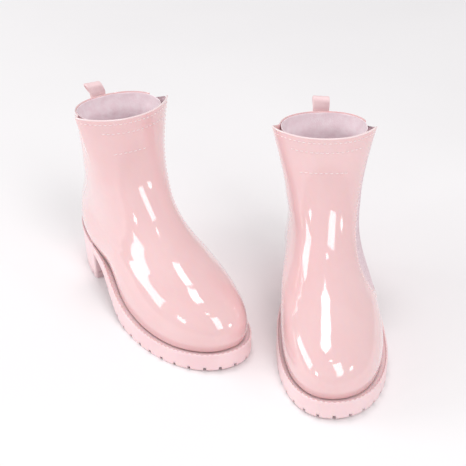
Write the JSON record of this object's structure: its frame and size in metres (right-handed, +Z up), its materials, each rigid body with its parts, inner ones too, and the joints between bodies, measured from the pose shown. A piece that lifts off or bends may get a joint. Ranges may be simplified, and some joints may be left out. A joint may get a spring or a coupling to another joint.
{
  "type": "pair of ankle rain boots",
  "caption": "Pair of women's glossy pink PVC ankle rain boots with a ribbed side gusset, lugged sole, block heel and a pull loop at the back of each collar.",
  "frame": {"origin": "centre of the pair's bounding box in plan, on the floor the boots stand on", "axes": "+Z up, toes towards -Y, the left boot on the +X side"},
  "size_m": [0.3124, 0.3106, 0.2035],
  "materials": {
    "pvc_upper": "gloss",
    "gusset_elastic": "matte",
    "lining_textile": "matte",
    "insole_textile": "matte",
    "insole_board": "matte",
    "shank_steel": "satin",
    "pvc_sole": "satin",
    "heel_top_rubber": "matte",
    "strap_pvc": "satin"
  },
  "bodies": {
    "left_boot": {"left_upper": "pvc_upper", "left_side_gusset": "gusset_elastic", "left_lining": "lining_textile", "left_insole": "insole_textile", "left_insole_board": "insole_board", "left_shank": "shank_steel", "left_outsole": "pvc_sole", "left_heel_block": "pvc_sole", "left_heel_top_piece": "heel_top_rubber", "left_pull_tab_base": "strap_pvc"},
    "right_boot": {"right_upper": "pvc_upper", "right_side_gusset": "gusset_elastic", "right_lining": "lining_textile", "right_insole": "insole_textile", "right_insole_board": "insole_board", "right_shank": "shank_steel", "right_outsole": "pvc_sole", "right_heel_block": "pvc_sole", "right_heel_top_piece": "heel_top_rubber", "right_pull_tab_base": "strap_pvc"},
    "left_loop": {"left_pull_tab_loop": "strap_pvc"},
    "right_loop": {"right_pull_tab_loop": "strap_pvc"}
  },
  "joints": [
    {"name": "right_boot_lift", "type": "slide", "parent": "left_boot", "child": "right_boot", "axis": [0, 0, 1], "range_m": [0, 0.3]},
    {"name": "left_loop_fold", "type": "hinge", "parent": "left_boot", "child": "left_loop", "pos_m": [0.09523, 0.09587, 0.1931], "axis": [0.9994, 0.0349, 0], "range_deg": [-49, 71], "stiffness_Nm_per_rad": 0.01},
    {"name": "right_loop_fold", "type": "hinge", "parent": "right_boot", "child": "right_loop", "pos_m": [-0.13127, 0.13039, 0.1931], "axis": [0.8387, 0.5446, 0], "range_deg": [-49, 71], "stiffness_Nm_per_rad": 0.01}
  ]
}
